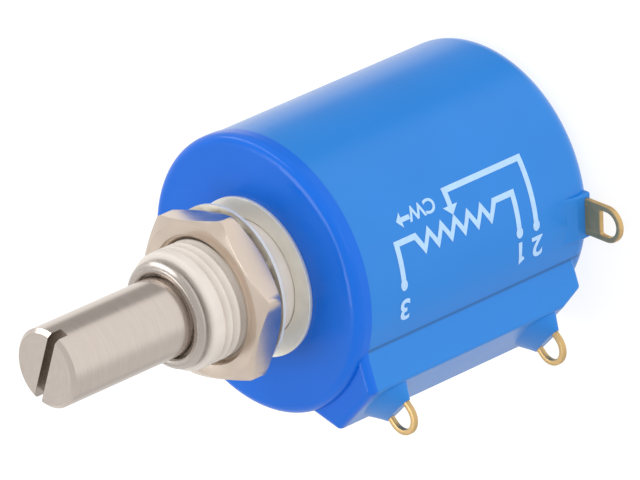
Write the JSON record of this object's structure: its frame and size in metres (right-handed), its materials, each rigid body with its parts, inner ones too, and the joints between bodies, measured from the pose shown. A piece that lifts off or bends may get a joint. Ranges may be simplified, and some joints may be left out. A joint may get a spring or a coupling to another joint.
{
  "type": "multiturn potentiometer",
  "caption": "Panel-mount multiturn potentiometer: round moulded case with solder lugs, threaded bushing and slotted shaft that drives a wiper along a helical element.",
  "frame": {"origin": "centre of the flat rear face of the case, on the shaft's axis", "axes": "+Z along the shaft towards its slotted end, and the terminal ridge points along -X"},
  "size_m": [0.0276, 0.0224, 0.0469],
  "materials": {
    "blue_moulding": "glossy moulded plastic, bright blue",
    "white_plastic": "moulded off-white plastic, semi-matt",
    "satin_steel": "turned stainless steel, satin",
    "polished_steel": "bright plated steel",
    "nickel_plate": "brass with a warm nickel plate",
    "gold_plate": "brass with a thin gold plate",
    "resistance_wire": "fine resistance wire on an insulated copper core",
    "dark_plastic": "moulded dark plastic",
    "natural_nylon": "natural nylon",
    "contact_alloy": "spring contact alloy"
  },
  "bodies": {
    "case": {"housing": "blue_moulding", "front_lid": "blue_moulding", "threaded_bushing": "white_plastic", "hex_nut": "nickel_plate", "lock_washer": "polished_steel", "flat_washer": "polished_steel", "terminal_lug_1": "gold_plate", "terminal_lug_2": "gold_plate", "terminal_lug_3": "gold_plate", "resistance_element": "resistance_wire", "end_lead_1": "gold_plate", "end_lead_3": "gold_plate", "collector_brush": "contact_alloy"},
    "rotor": {"shaft": "satin_steel", "retaining_ring": "polished_steel", "rotor": "dark_plastic", "slip_ring": "contact_alloy", "collector_bar": "contact_alloy", "thrust_washer": "natural_nylon"},
    "carriage": {"contact_carriage": "natural_nylon", "wiper_contact": "contact_alloy"}
  },
  "joints": [
    {"name": "shaft_turn", "type": "hinge", "parent": "case", "child": "rotor", "pos_m": [0, 0, 0], "axis": [0, 0, 1], "range_deg": [-1800, 1800]},
    {"name": "carriage_travel", "type": "slide", "parent": "rotor", "child": "carriage", "axis": [0, 0, 1], "range_m": [-0.0083, 0.0083]}
  ],
  "couplings": [
    {"joint": "carriage_travel", "follows": "shaft_turn", "m_per_rad": -0.00025465}
  ]
}
